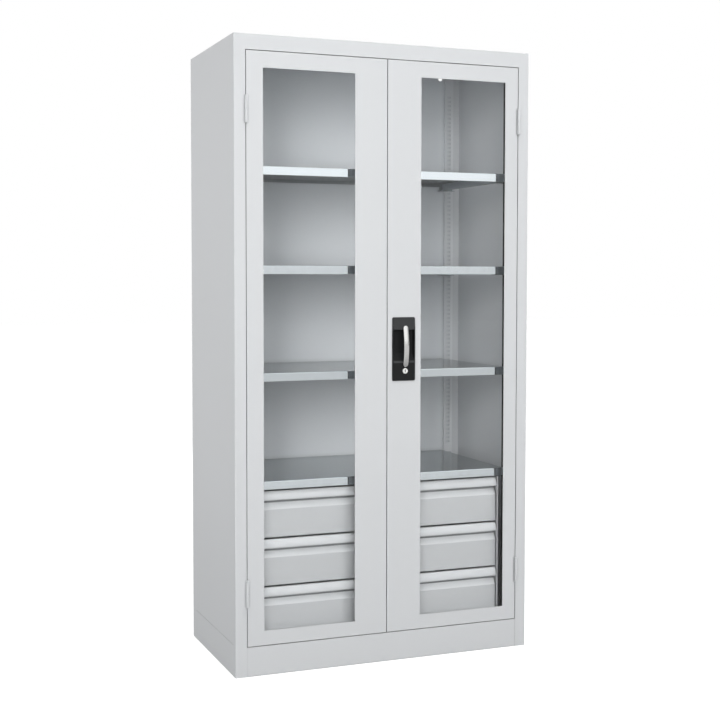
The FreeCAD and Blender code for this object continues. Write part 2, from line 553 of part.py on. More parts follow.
pin = new_body("hinge_pin_shape")
add(pin, "xy", "-hinge_half", "hinge_half - pin_top_gap", circles=[("hinge_x", "hinge_y", "pin_radius")])
keep(group("right_hinge_pins", [(pin, height) for height in heights]))
left_pin = mirrored("left_hinge_pin_shape", pin, AXIS_X)
keep(group("left_hinge_pins", [(left_pin, height) for height in heights]))

# Handle plate: moulded front plate with a finger dish whose floor slopes up at its lower end
plate = keep(new_body("handle_plate"))
add(plate, "xz", "plate_y", "front_y", rectangle("plate_left", "plate_right", "plate_bottom", "plate_top"))
add(plate, "xz", "front_y", "cup_y", ring("dish_left", "dish_right", "dish_bottom", "dish_top", "-dish_wall"))
soften(plate, "Fillet", "plate_corner", lambda edge, middle: runs_along(edge, AXIS_Y)
       and (near(middle.z, "plate_bottom") or near(middle.z, "plate_top")))
soften(plate, "Fillet", "plate_rim", lambda edge, middle: near(middle.y, "plate_y"))
cut(plate, "yz", "dish_left", "dish_right", [
    ("plate_y", "dish_top"), ("plate_y", "dish_bottom"), ("dish_y", "dish_bottom + dish_slope"),
    ("dish_y", "dish_top")])
soften(plate, "Fillet", "dish_round",
       lambda edge, middle: runs_along(edge, AXIS_Z) and near(middle.y, "dish_y"))
cut(plate, "xz", "plate_y", "front_y", circles=[
    ("lever_x", "lever_height", "spindle_radius + spindle_clearance"),
    ("lever_x", "lock_z", "cylinder_radius + cylinder_clearance")])

# Bow lever: a flat bar bent to an arc, rounded along its edges, with a round hub and foot
bow = keep(new_body("bow_grip"))
arc_section = new_sketch(bow, "xy", "bow_mid_z", [rectangle(
    "lever_x - bow_width / 2", "lever_x + bow_width / 2",
    "bow_mid_y - bow_thickness / 2", "bow_mid_y + bow_thickness / 2")])
arc_centre = "bow_mid_y + bow_radius"
axis_ends = [FreeCAD.Vector(number(f"{sign}bow_width"), number(arc_centre), 0) for sign in ("-", "")]
axis_line = arc_section.addGeometry(Part.LineSegment(*axis_ends), True)
for vertex, sign in ((1, "-"), (2, "")):
    pin_down(arc_section, axis_line, vertex, f"{sign}bow_width", arc_centre)
bend = bow.newObject("PartDesign::Revolution", "bend")
bend.Profile = arc_section
bend.ReferenceAxis = (arc_section, ["Axis0"])
bend.Midplane = True
bend.setExpression("Angle", f"2 * asin({bound('lever_length / 2')} / {bound('bow_radius')})")
soften(bow, "Fillet", "bow_edge", lambda edge, middle: edge.Curve.TypeId == "Part::GeomCircle")
for end_z in ("lever_height", "lever_height - lever_length"):
    button = bow.newObject("PartDesign::AdditiveEllipsoid", "rounded_end")
    button.setExpression("Radius1", bound("bow_width / 2"))
    button.setExpression("Radius2", bound("bow_width / 2"))
    button.setExpression("Radius3", bound("bow_thickness / 2"))
    for letter, place in (("x", "lever_x"), ("y", "bow_end_y"), ("z", end_z)):
        button.setExpression(f"Placement.Base.{letter}", bound(place))
    add(bow, "xz", "bow_end_y", "lever_y", circles=[("lever_x", end_z, "hub_radius")])

# Spindle and cam: the lever turns a disc whose two pins lie in the heads of the lock rods
spindle = keep(new_body("spindle"))
add(spindle, "xz", "lever_y", "cam_y", circles=[("lever_x", "lever_height", "spindle_radius")])
cam = keep(new_body("cam_disc"))
add(cam, "xz", "cam_y", "cam_back_y", circles=[("lever_x", "lever_height", "cam_radius")])
for side_sign, lift_sign in (("+", "-"), ("-", "+")):
    add(cam, "xz", "cam_back_y", "rod_back_y + rod_gap", circles=[
        (f"lever_x {side_sign} pin_step", f"lever_height {lift_sign} pin_step", "cam_pin_radius")])

# Lock rods: flat bars with a cross slot in the head; drawn in at rest
for label, rod_x, lift_sign, end_z in (
        ("upper_rod", "upper_rod_x", "-", "door_high - rod_end_gap"),
        ("lower_rod", "lower_rod_x", "+", "door_low + rod_end_gap")):
    rod = keep(new_body(label))
    pin_z = f"lever_height {lift_sign} pin_step"
    low_z, high_z = (pin_z, end_z) if label == "upper_rod" else (end_z, pin_z)
    add(rod, "xz", "rod_y", "rod_back_y", rectangle(
        f"{rod_x} - slot_reach - rod_wall", f"{rod_x} + slot_reach + rod_wall",
        f"{pin_z} - slot_half - rod_wall", f"{pin_z} + slot_half + rod_wall"))
    add(rod, "xz", "rod_y", "rod_back_y",
        rectangle(f"{rod_x} - rod_width / 2", f"{rod_x} + rod_width / 2", low_z, high_z))
    cut(rod, "xz", "rod_y", "rod_back_y", rectangle(
        f"{rod_x} - slot_reach", f"{rod_x} + slot_reach", f"{pin_z} - slot_half", f"{pin_z} + slot_half"))

# Lock case: a pressed cover over the mechanism, open towards the door skin, with its screws
cover = keep(new_body("lock_case"))
cover_face = ("cover_left", "cover_right", "cover_low", "cover_high")
add(cover, "xz", "door_skin_y", "cover_back_y", rectangle(*cover_face))
cut(cover, "xz", "door_skin_y", "cover_y", ring(*cover_face, "cover_sheet"))
cut(cover, "xy", "cover_high - cover_sheet", "cover_high", rod_hole("upper_rod_x", "rod_clearance"))
cut(cover, "xy", "cover_low", "cover_low + cover_sheet", rod_hole("lower_rod_x", "rod_clearance"))
screws = []
for screw_x in ("cover_left + screw_inset", "cover_right - screw_inset"):
    for screw_z in ("cover_low + screw_inset", "cover_high - screw_inset"):
        screw = new_body("screw_shape")
        add(screw, "xz", "cover_back_y", "cover_back_y + screw_head",
            circles=[(screw_x, screw_z, "screw_radius")])
        soften(screw, "Fillet", "screw_round",
               lambda edge, middle: near(middle.y, "cover_back_y + screw_head"))
        screws.append((screw, "0 * screw_head"))
keep(group("lock_case_screws", screws))

# Rod guides: blocks on the door skin with a slot that the rod runs in
guide_copies = []
for rod_x, guide_heights in (
        ("upper_rod_x", ("cover_high + guide_cover_gap", "door_high - guide_end_inset")),
        ("lower_rod_x", ("cover_low - guide_cover_gap", "door_low + guide_end_inset"))):
    guide = new_body("guide_shape")
    add(guide, "xy", "-guide_height / 2", "guide_height / 2", rectangle(
        f"{rod_x} - rod_width / 2 - guide_margin", f"{rod_x} + rod_width / 2 + guide_margin",
        "door_skin_y", "cover_back_y"), rod_hole(rod_x, "guide_clearance"))
    guide_copies += [(guide, height) for height in guide_heights]
keep(group("rod_guides", guide_copies))

# Rod keepers: plates with a slot, above the rail's return and below the floor
keepers = []
for rod_x, low, high in (("upper_rod_x", "rail_z + case_sheet", "rail_z + case_sheet + keeper_sheet"),
                         ("lower_rod_x", "deck_z - keeper_sheet", "deck_z")):
    keeper = new_body("keeper_shape")
    add(keeper, "xy", low, high, rectangle(
        f"{rod_x} - keeper_length / 2", f"{rod_x} + keeper_length / 2",
        "rod_mid_y - keeper_width / 2", "rod_mid_y + keeper_width / 2"), rod_hole(rod_x, "keeper_clearance"))
    keepers.append((keeper, "0 * keeper_sheet"))
keep(group("rod_keepers", keepers))

# Lock cylinder with its keyhole, and the tongue at its inner end
cylinder = keep(new_body("lock_cylinder"))
add(cylinder, "xz", "plate_y - cylinder_reach", "tongue_y - tongue_thickness",
    circles=[("lever_x", "lock_z", "cylinder_radius")])
cut(cylinder, "xz", "plate_y - cylinder_reach", "plate_y - cylinder_reach + keyhole_depth", rectangle(
    "lever_x - keyhole_width / 2", "lever_x + keyhole_width / 2",
    "lock_z - keyhole_height / 2", "lock_z + keyhole_height / 2"))
tongue = keep(new_body("lock_tongue"))
add(tongue, "xz", "tongue_y - tongue_thickness", "tongue_y", rectangle(
    "lever_x - tongue_width / 2", "lever_x + tongue_length",
    "lock_z - tongue_width / 2", "lock_z + tongue_width / 2"))

doc.recompute()

for thing in doc.Objects:
    if "Invalid" in thing.State or "Error" in thing.State:
        raise ValueError(f"{thing.Label} failed: {thing.State}")
for thing in nodes:
    if thing.Shape.isNull() or not thing.Shape.isValid() or not thing.Shape.Solids:
        raise ValueError(f"{thing.Label} has no valid shape")

os.makedirs("parts", exist_ok=True)
for thing in nodes:
    thing.Shape.exportStep(f"parts/{thing.Label}.step")
    print(thing.Label, len(thing.Shape.Solids), round(thing.Shape.Volume))
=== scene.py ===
import math

import bmesh
import bpy
import numpy as np
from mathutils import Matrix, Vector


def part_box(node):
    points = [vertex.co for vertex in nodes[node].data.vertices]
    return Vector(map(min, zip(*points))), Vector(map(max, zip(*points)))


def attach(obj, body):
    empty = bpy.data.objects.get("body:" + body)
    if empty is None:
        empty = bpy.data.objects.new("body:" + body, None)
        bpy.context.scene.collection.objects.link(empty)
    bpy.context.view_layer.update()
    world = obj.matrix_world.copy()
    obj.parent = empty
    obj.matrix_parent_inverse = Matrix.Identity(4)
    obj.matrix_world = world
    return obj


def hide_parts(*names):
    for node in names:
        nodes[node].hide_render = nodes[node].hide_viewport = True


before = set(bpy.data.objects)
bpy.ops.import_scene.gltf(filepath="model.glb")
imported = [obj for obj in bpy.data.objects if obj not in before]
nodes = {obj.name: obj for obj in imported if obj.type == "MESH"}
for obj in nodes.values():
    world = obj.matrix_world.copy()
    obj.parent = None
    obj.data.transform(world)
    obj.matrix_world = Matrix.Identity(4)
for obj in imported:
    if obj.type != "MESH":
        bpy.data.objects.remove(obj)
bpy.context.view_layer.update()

# Case: side panels with their posts, roof, floor, plinth and drawer case of 1 to 1.5 mm sheet steel, folded
# and welded. It is powder coated in a light cool grey, which bakes to an even satin skin with a very fine
# dimple. The inner faces of the sides are painted lighter, as painted light, and the folds and narrow gaps
# are painted darker, as painted shade.
CASE_GREY = "#C7C9CB"
INSIDE_PAINTED_LIGHT = "#E1E3E5"
COAT_ROUGHNESS = (0.42, 0.50)
COAT_DRIFT_MM = 420.0     # slow drift of film thickness over a panel,
COAT_DRIFT_TONE = 0.015   # and how far it takes the tone to either side
COAT_DIMPLE_MM = 2.5      # real dimples are under 1 mm and would not show, so they are drawn coarser
COAT_DIMPLE_BUMP, COAT_DIMPLE_DEPTH = 0.05, 0.0004
SHADE_REACH_MM = 7.0       # a gap narrower than this is painted darker, as painted shade
SHADE_TONE = 0.30
SIDE_PAINTED_SHADE = (3.0, 0.2)    # reach in mm and tone of the painted shade on the sides, whose seams are finer
SKIN_DEPTH = 0.0008       # metres under the outer skin where the painted lighter inside begins,
INSIDE_FRONT = -0.2       # its front limit behind the posts,
BACK_FOLD = 0.002         # and how far it stops short of the back


def linear(code, factor=1.0):
    """The linear colour of an sRGB hex value, by the standard's two-part curve, times a factor."""
    channels = np.array([int(code[place:place + 2], 16) for place in (1, 3, 5)]) / 255
    curve = np.where(channels <= 0.04045, channels / 12.92, ((channels + 0.055) / 1.055) ** 2.4)
    return (*(curve * factor).tolist(), 1.0)


def add_node(tree, kind, inputs=None, **settings):
    """One shader node with its settings; an input is a value, or another node's output to link."""
    node = tree.nodes.new("ShaderNode" + kind)
    for name, value in settings.items():
        setattr(node, name, value)
    for name, value in (inputs or {}).items():
        if isinstance(value, bpy.types.NodeSocket):
            tree.links.new(value, node.inputs[name])
        else:
            node.inputs[name].default_value = value
    return node


def new_finish(name):
    """A node material with its tree, its shader and its object coordinates in metres."""
    finish = bpy.data.materials.new(name)
    finish.use_nodes = True
    tree = finish.node_tree
    return finish, tree, tree.nodes["Principled BSDF"], add_node(tree, "TexCoord").outputs["Object"]


def wire(tree, shader, **outputs):
    """Link outputs to the shader's sockets, named with underscores for spaces."""
    for name, output in outputs.items():
        tree.links.new(output, shader.inputs[name.replace("_", " ")])


def per_metre(size_mm):
    """A texture scale whose pattern repeats about once in that many millimetres."""
    return 1000.0 / size_mm


def powder_coat(name, code, reach_mm=SHADE_REACH_MM, shade=SHADE_TONE):
    """Powder-coated steel: an even dimpled film whose gloss drifts over a panel, with painted shade in
    gaps.
    """
    finish, tree, shader, coords = new_finish(name)
    drift = add_node(tree, "TexNoise", {"Vector": coords, "Scale": per_metre(COAT_DRIFT_MM),
                                        "Detail": 2.0})
    dimple = add_node(tree, "TexNoise", {"Vector": coords, "Scale": per_metre(COAT_DIMPLE_MM),
                                         "Detail": 1.0})
    film = add_node(tree, "Mix", {"Factor": drift.outputs["Fac"], "A": linear(code, 1 - COAT_DRIFT_TONE),
                                  "B": linear(code, 1 + COAT_DRIFT_TONE)}, data_type="RGBA")
    # painted shade: ambient occlusion darkens the coat in gaps and corners
    space = add_node(tree, "AmbientOcclusion", {"Distance": reach_mm / 1000}, samples=8)
    painted_shade = add_node(tree, "Mix", {"Factor": space.outputs["AO"], "A": linear(code, shade),
                                  "B": film.outputs["Result"]}, data_type="RGBA")
    gloss = add_node(tree, "MapRange", {"Value": drift.outputs["Fac"], "To Min": COAT_ROUGHNESS[0],
                                        "To Max": COAT_ROUGHNESS[1]})
    bump = add_node(tree, "Bump", {"Height": dimple.outputs["Fac"], "Strength": COAT_DIMPLE_BUMP,
                                   "Distance": COAT_DIMPLE_DEPTH})
    wire(tree, shader, Base_Color=painted_shade.outputs["Result"], Roughness=gloss.outputs["Result"],
         Normal=bump.outputs["Normal"])
    return finish


def painted_light_inside(finish, code, skin_x, front_y, back_y):
    """Recolour a coat inward of the outer skins at plus and minus skin_x, between two depths, as painted
    light.
    """
    tree = finish.node_tree
    shader = tree.nodes["Principled BSDF"]
    place = add_node(tree, "SeparateXYZ", {"Vector": add_node(tree, "TexCoord").outputs["Object"]})
    across = add_node(tree, "Math", {0: place.outputs["X"]}, operation="ABSOLUTE")
    inward = add_node(tree, "Math", {0: across.outputs["Value"], 1: skin_x}, operation="LESS_THAN")
    behind = add_node(tree, "Math", {0: place.outputs["Y"], 1: front_y}, operation="GREATER_THAN")
    before = add_node(tree, "Math", {0: place.outputs["Y"], 1: back_y}, operation="LESS_THAN")
    between = add_node(tree, "Math", {0: behind.outputs["Value"], 1: before.outputs["Value"]},
                       operation="MULTIPLY")
    inside = add_node(tree, "Math", {0: inward.outputs["Value"], 1: between.outputs["Value"]},
                      operation="MULTIPLY")
    shade = add_node(tree, "Mix", {"Factor": inside.outputs["Value"], "B": linear(code),
                                   "A": shader.inputs["Base Color"].links[0].from_socket}, data_type="RGBA")
    wire(tree, shader, Base_Color=shade.outputs["Result"])
    return finish


def dress(finish, *names):
    """Give CAD nodes a finish in every one of their material slots."""
    for name in names:
        for slot in nodes[name].material_slots:
            slot.material = finish


case_coat = powder_coat("powder_coated_steel", CASE_GREY)
dress(case_coat, "top_panel", "bottom_panel", "plinth_front",
      "drawer_case_left", "drawer_case_right", "drawer_case_back")
side_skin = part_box("right_side_panel")[1][0]
side_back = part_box("right_side_panel")[1][1]
# painted light: the sides' inner faces get a lighter tone
side_coat = painted_light_inside(powder_coat("powder_coated_sides", CASE_GREY, *SIDE_PAINTED_SHADE), INSIDE_PAINTED_LIGHT,
                           side_skin - SKIN_DEPTH, INSIDE_FRONT, side_back - BACK_FOLD)
dress(side_coat, "left_side_panel", "right_side_panel")

# Back panel and uprights: flat sheet behind everything, and slotted strips folded to stand off it.
# They are painted lighter than the shell, as painted light, and painted shade darkens the back behind the
# strips.
BACK_PAINTED_LIGHT = "#F5F8FB"
BACK_PAINTED_SHADE = (14.0, 0.68)
UPRIGHT_PAINTED_LIGHT = "#ECEEF0"
UPRIGHT_PAINTED_SHADE = (3.0, 0.55)
# painted light on the back and strips, and painted shade behind the strips
dress(powder_coat("powder_coated_back", BACK_PAINTED_LIGHT, *BACK_PAINTED_SHADE), "back_panel")
dress(powder_coat("powder_coated_strip", UPRIGHT_PAINTED_LIGHT, *UPRIGHT_PAINTED_SHADE),
      "left_rear_upright", "right_rear_upright", "left_front_upright", "right_front_upright")

# Shelves: trays of hot-dip galvanised sheet, skin-passed so that they stay bright and nearly mirror-like on
# the show side and rougher below, where their faces are also given a darker tone as painted shade. The
# zinc's crystals show only as faint patches, and along the sheet it mirrors less than pure metal does.
ZINC_BRIGHT = "#F2F8FC"
ZINC_EDGE = "#CACAC9"
ZINC_ROUGHNESS = (0.09, 0.13)
ZINC_CONTRAST = 0.015
ZINC_PAINTED_SHADE = "#AEB1B3"
DULL_ROUGHNESS = 0.38
CRYSTAL_MM = 14.0
LIP_SHEET = 0.0025        # metres from the lip's face within which it is bright
LOOKS_THAT_WAY = 0.5      # share of a face's normal past which it looks along an axis


def galvanised(name, code, edge_code, roughness, contrast):
    """Zinc on steel: bright metal in patches of slightly unlike tone and gloss, greyer at a flat glance."""
    finish, tree, shader, coords = new_finish(name)
    crystals = add_node(tree, "TexVoronoi", {"Vector": coords, "Scale": per_metre(CRYSTAL_MM)})
    patch = add_node(tree, "RGBToBW", {"Color": crystals.outputs["Color"]})
    tint = add_node(tree, "Mix", {"Factor": patch.outputs["Val"], "A": linear(code, 1 - contrast),
                                  "B": linear(code, 1 + contrast)}, data_type="RGBA")
    gloss = add_node(tree, "MapRange", {"Value": patch.outputs["Val"], "To Min": roughness[0],
                                        "To Max": roughness[1]})
    wire(tree, shader, Base_Color=tint.outputs["Result"], Roughness=gloss.outputs["Result"])
    shader.inputs["Metallic"].default_value = 1.0
    shader.inputs["Specular Tint"].default_value = linear(edge_code)
    return finish


def rougher_and_shaded_below(finish, code, roughness, lip_y):
    """Make a finish rougher on faces that do not look up and lie behind the front lip's depth, and darker,
    as painted shade, on those of them that do not look sideways."""
    tree = finish.node_tree
    shader = tree.nodes["Principled BSDF"]
    coords = add_node(tree, "TexCoord")
    facing = add_node(tree, "SeparateXYZ", {"Vector": coords.outputs["Normal"]})
    place = add_node(tree, "SeparateXYZ", {"Vector": coords.outputs["Object"]})
    not_up = add_node(tree, "Math", {0: facing.outputs["Z"], 1: LOOKS_THAT_WAY}, operation="LESS_THAN")
    behind = add_node(tree, "Math", {0: place.outputs["Y"], 1: lip_y}, operation="GREATER_THAN")
    below = add_node(tree, "Math", {0: not_up.outputs["Value"], 1: behind.outputs["Value"]},
                     operation="MULTIPLY")
    sideways = add_node(tree, "Math", {0: facing.outputs["X"]}, operation="ABSOLUTE")
    lengthways = add_node(tree, "Math", {0: sideways.outputs["Value"], 1: LOOKS_THAT_WAY},
                          operation="LESS_THAN")
    shaded = add_node(tree, "Math", {0: below.outputs["Value"], 1: lengthways.outputs["Value"]},
                     operation="MULTIPLY")
    # painted shade: a darker tone on the shelves' undersides
    tone = add_node(tree, "Mix", {"Factor": shaded.outputs["Value"], "B": linear(code),
                                  "A": shader.inputs["Base Color"].links[0].from_socket}, data_type="RGBA")
    gloss = add_node(tree, "Mix", {"Factor": below.outputs["Value"], "B": roughness,
                                   "A": shader.inputs["Roughness"].links[0].from_socket}, data_type="FLOAT")
    wire(tree, shader, Base_Color=tone.outputs["Result"], Roughness=gloss.outputs["Result"])
    return finish


shelf_zinc = galvanised("galvanised_sheet", ZINC_BRIGHT, ZINC_EDGE, ZINC_ROUGHNESS, ZINC_CONTRAST)
shelf_lip_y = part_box("shelf_1")[0][1] + LIP_SHEET
dress(rougher_and_shaded_below(shelf_zinc, ZINC_PAINTED_SHADE, DULL_ROUGHNESS, shelf_lip_y),
      "shelf_1", "shelf_2", "shelf_3", "shelf_4")

# Small steelwork: clips, runners, rods, pins and the lock's cover, all pressed or drawn steel, zinc plated.
# Barrel plating leaves it a duller and bluer grey than the shelves.
ZINC_PLATED = "#AEB3B8"
PLATED_ROUGHNESS = (0.30, 0.40)
PLATED_CONTRAST = 0.06
dress(galvanised("zinc_plated_steel", ZINC_PLATED, ZINC_EDGE, PLATED_ROUGHNESS, PLATED_CONTRAST),
      "shelf_clips", "fixed_runners", "drawer_1_slides", "drawer_2_slides", "drawer_3_slides",
      "left_hinge_pins", "right_hinge_pins", "rod_keepers", "spindle", "cam_disc", "upper_rod", "lower_rod",
      "lock_case", "lock_case_screws", "lock_tongue")

# Drawers: pressed steel fronts with a rolled grip lip over a finger scoop, spot-welded to folded trays.
# Their fronts and trays are painted a shade darker than the case, as painted shade, apart from the grips,
# which keep the case's grey as painted light. The groove under the lip is painted darker, as painted
# shadow.
DRAWER_SHADED_GREY = "#BCBEC0"
DRAWER_PAINTED_SHADE = (4.0, 0.6)
GRIP_PAINTED_SHADE = (9.0, 0.35)
GROOVE_SHADOW_GREY = "#8C8E90"
GROOVE_PAINTED_SHADE = (9.0, 0.2)
FRONT_TRIM = 3.0          # clear of the drawer case at each end
LIP_REACH, LIP_TALL, LIP_ROLL = 7.0, 28.4, 4.0
LIP_LEAN = math.radians(42)
SCOOP_DEEP, SCOOP_TOP, SCOOP_BOTTOM = 10.5, 37.0, 57.0
FOLD_ROUND = 0.8
LIP_POINTS, FOLD_POINTS = 25, 8           # points over the lip in all, and round one fold
SHARP_FOLD = math.radians(20)


def box_mm(node):
    """Lowest and highest corner of a CAD node, in millimetres."""
    return [np.array(corner) * 1000 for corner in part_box(node)]


def skin(loops):
    """Points and faces of a closed surface: each loop joined to the next by quads, and both ends filled."""
    rows, count = len(loops), len(loops[0])
    near = np.arange(rows * count).reshape(rows, count)
    turned = np.roll(near, -1, axis=1)
    quads = np.stack([near[:-1], turned[:-1], turned[1:], near[1:]], 2).reshape(-1, 4).tolist()
    return np.concatenate(loops), quads + [near[0].tolist()[::-1], near[-1].tolist()]


def new_piece(name, shells, finishes, body, slot, *replaced):
    """A mesh of closed shells in mm, smooth up to its sharp folds, that rides on a body for its CAD node.
    A shell is its points, its faces, and the place of its finish in the list, for all or for each face."""
    points, faces, marks = [], [], []
    for shell_points, shell_faces, mark in shells:
        start = sum(len(block) for block in points)
        faces += [[corner + start for corner in face] for face in shell_faces]
        marks += mark if isinstance(mark, list) else [mark] * len(shell_faces)
        points.append(shell_points)
    mesh = bpy.data.meshes.new(name)
    mesh.from_pydata((np.concatenate(points) / 1000).tolist(), [], faces)
    mesh.polygons.foreach_set("material_index", marks)
    work = bmesh.new()
    work.from_mesh(mesh)
    bmesh.ops.recalc_face_normals(work, faces=work.faces)
    work.to_mesh(mesh)
    work.free()
    mesh.shade_smooth()
    mesh.set_sharp_from_angle(angle=SHARP_FOLD)
    for finish in finishes:
        mesh.materials.append(finish)
    piece = bpy.data.objects.new(name, mesh)
    bpy.context.scene.collection.objects.link(piece)
    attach(piece, body)
    if replaced:
        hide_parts(*replaced)


def front_section(lip, back, bottom, top):
    """A front's outline in y and z: an arc that leans back to the lip's top, a quarter circle that rolls
    under it, the groove's back, the scoop's slope, the flat face and a quarter circle at its foot."""
    lean = np.linspace(LIP_LEAN, 0, LIP_POINTS - FOLD_POINTS)
    roll = np.linspace(0, math.pi / 2, FOLD_POINTS + 1)[1:]
    lip_low, face = top - LIP_TALL + LIP_ROLL, lip + LIP_REACH
    bulge = (LIP_TALL - LIP_ROLL) / math.sin(LIP_LEAN)
    arc = np.stack([lip + bulge * (1 - np.cos(lean)), lip_low + bulge * np.sin(lean)], 1)
    under = np.stack([lip + LIP_ROLL * (1 - np.cos(roll)), lip_low - LIP_ROLL * np.sin(roll)], 1)
    scoop = [(face + SCOOP_DEEP, top - LIP_TALL), (face + SCOOP_DEEP, top - SCOOP_TOP),
             (face, top - SCOOP_BOTTOM), (face, bottom + FOLD_ROUND)]
    foot = np.stack([face + FOLD_ROUND * (1 - np.cos(roll)), bottom + FOLD_ROUND * (1 - np.sin(roll))], 1)
    return np.concatenate([arc, under, scoop, foot, [(back, bottom), (back, top)]])


# painted shade on the drawers' fronts and trays, and painted light on the grips
drawer_coat = powder_coat("powder_coated_drawers_painted_shade", DRAWER_SHADED_GREY, *DRAWER_PAINTED_SHADE)
grip_light_coat = powder_coat("powder_coated_grips_painted_light", CASE_GREY, *GRIP_PAINTED_SHADE)
# painted shadow: the groove under the lip is darker
groove_shadow_coat = powder_coat("powder_coat_painted_shadow", GROOVE_SHADOW_GREY, *GROOVE_PAINTED_SHADE)
for drawer in ("drawer_1", "drawer_2", "drawer_3"):
    dress(drawer_coat, f"{drawer}_tray")
    (left, lip, bottom), (right, back, top) = box_mm(f"{drawer}_front")
    section = front_section(lip, back, bottom, top)
    ends = [np.column_stack([np.full(len(section), x), section])
            for x in (left + FRONT_TRIM, right - FRONT_TRIM)]
    points, faces = skin(ends)
    marks = [1] * LIP_POINTS + [2, 1] + [0] * (len(faces) - LIP_POINTS - 2)
    new_piece(f"{drawer}_pressed_front", [(points, faces, marks)], [drawer_coat, grip_light_coat, groove_shadow_coat],
              drawer, "case_paint", f"{drawer}_front")

# Doors: pressed steel shells with a window each, flanged round the edge, hung on welded barrel hinges.
# Pane frames and the meeting strip are folded from the same sheet, and all go through the case's coat.
# The hinges' knuckles have the same coat, with less painted shade in their gaps.
HINGE_PAINTED_SHADE = (2.0, 0.6)
dress(case_coat, "left_door", "right_door", "left_pane_frame", "right_pane_frame", "meeting_strip")
dress(powder_coat("powder_coated_hinges", CASE_GREY, *HINGE_PAINTED_SHADE),
      "left_frame_knuckles", "right_frame_knuckles", "left_door_knuckles", "right_door_knuckles")

# Panes: clear cast acrylic, 4 mm thick, polished on both faces and held behind the door skins.
# Light passes them unbent on its way in, and the eye sees a slight mirror of the room, with faint smears.
ACRYLIC = "#FEFFFF"
ACRYLIC_IOR = 1.3         # below acrylic's 1.49, because an all-white room would veil what is behind
SMEAR_MM = 260.0
SMEAR_ROUGHNESS = (0.0, 0.02)
acrylic, tree, shader, coords = new_finish("clear_acrylic")
smears = add_node(tree, "TexNoise", {"Vector": coords, "Scale": per_metre(SMEAR_MM), "Detail": 3.0})
haze = add_node(tree, "MapRange", {"Value": smears.outputs["Fac"], "To Min": SMEAR_ROUGHNESS[0],
                                   "To Max": SMEAR_ROUGHNESS[1]})
wire(tree, shader, Roughness=haze.outputs["Result"])
shader.inputs["Base Color"].default_value = linear(ACRYLIC)
shader.inputs["IOR"].default_value = ACRYLIC_IOR
shader.inputs["Transmission Weight"].default_value = 1.0


def ray_is(tree, *kinds):
    """One where the ray is of one of these Light Path kinds, and zero elsewhere."""
    path = add_node(tree, "LightPath")
    total = path.outputs[kinds[0]]
    for kind in kinds[1:]:
        either_kind = add_node(tree, "Math", {0: total, 1: path.outputs[kind]}, operation="MAXIMUM")
        total = either_kind.outputs["Value"]
    return total


unbent = add_node(tree, "BsdfTransparent")
either = add_node(tree, "MixShader", {0: ray_is(tree, "Is Shadow Ray", "Is Diffuse Ray"),
                                      1: shader.outputs["BSDF"], 2: unbent.outputs["BSDF"]})
tree.links.new(either.outputs["Shader"], tree.nodes["Material Output"].inputs["Surface"])
dress(acrylic, "left_pane", "right_pane")

# Handle plate: one ABS moulding, black with a fine spark-eroded grain, let into the right door from the
# front. Its rim is rounded, the panel over the dish leans back, and the dish has curved sides, a sloping
# end and a soft edge. The rods' guides behind it are of the same ABS.
BLACK_ABS = "#121314"
PANEL_LIGHT_ABS = "#333435"     # painted greyer over the dish and on the edge at its foot, as painted light, with a coarser grain
DISH_ABS = "#141516"      # the dish was left matt, so it mirrors less
ABS_MIRROR, DISH_MIRROR = 0.28, 0.22
FINE_ROUGHNESS, COARSE_ROUGHNESS = (0.32, 0.44), (0.50, 0.62)
GRAIN_MM = 0.9
GRAIN_BUMP, GRAIN_DEPTH = 0.15, 0.0003
PLATE_CORNER, PLATE_RIM, PLATE_PROUD = 4.6, 2.2, 4.0
PANEL_LEAN = 2.0
DISH_SIDE, DISH_TOP, DISH_BOTTOM = 3.5, 40.0, 59.0        # from the plate's edges to the dish's mouth
DISH_DEPTH, DISH_ROUND, DISH_SLOPE, DISH_CORNER = 13.5, 8.0, 30.0, 1.5
DISH_EDGE = 2.0           # depth of the mouth's rounded edge, and its widths left, right, below and above
DISH_EDGE_OUT = np.array([-1.0, 1.0, -2.6, 0.8])
CUP_WALL = 1.0
CORNER_STEPS, SIDE_STEPS = 8, 20
DISH_LOOPS, EDGE_LOOPS, FLAT_LOOPS, RIM_LOOPS = 10, 7, 8, 5
MARK_SLACK = 0.1


def moulded_abs(name, code, roughness, mirror):
    """Moulded ABS: near black, with a fine grain in its relief and sheen."""
    finish, tree, shader, coords = new_finish(name)
    grain = add_node(tree, "TexNoise", {"Vector": coords, "Scale": per_metre(GRAIN_MM), "Detail": 2.0})
    bump = add_node(tree, "Bump", {"Height": grain.outputs["Fac"], "Strength": GRAIN_BUMP,
                                   "Distance": GRAIN_DEPTH})
    sheen = add_node(tree, "MapRange", {"Value": grain.outputs["Fac"], "To Min": roughness[0],
                                        "To Max": roughness[1]})
    wire(tree, shader, Normal=bump.outputs["Normal"], Roughness=sheen.outputs["Result"])
    shader.inputs["Base Color"].default_value = linear(code)
    shader.inputs["Specular IOR Level"].default_value = mirror
    return finish


moulded = moulded_abs("moulded_black_abs", BLACK_ABS, FINE_ROUGHNESS, ABS_MIRROR)
# painted light: the panel over the dish and the edge at its foot are greyer
panel = moulded_abs("grained_black_abs_painted_light", PANEL_LIGHT_ABS, COARSE_ROUGHNESS, ABS_MIRROR)
dish = moulded_abs("matt_black_abs", DISH_ABS, COARSE_ROUGHNESS, DISH_MIRROR)
dress(moulded, "rod_guides")


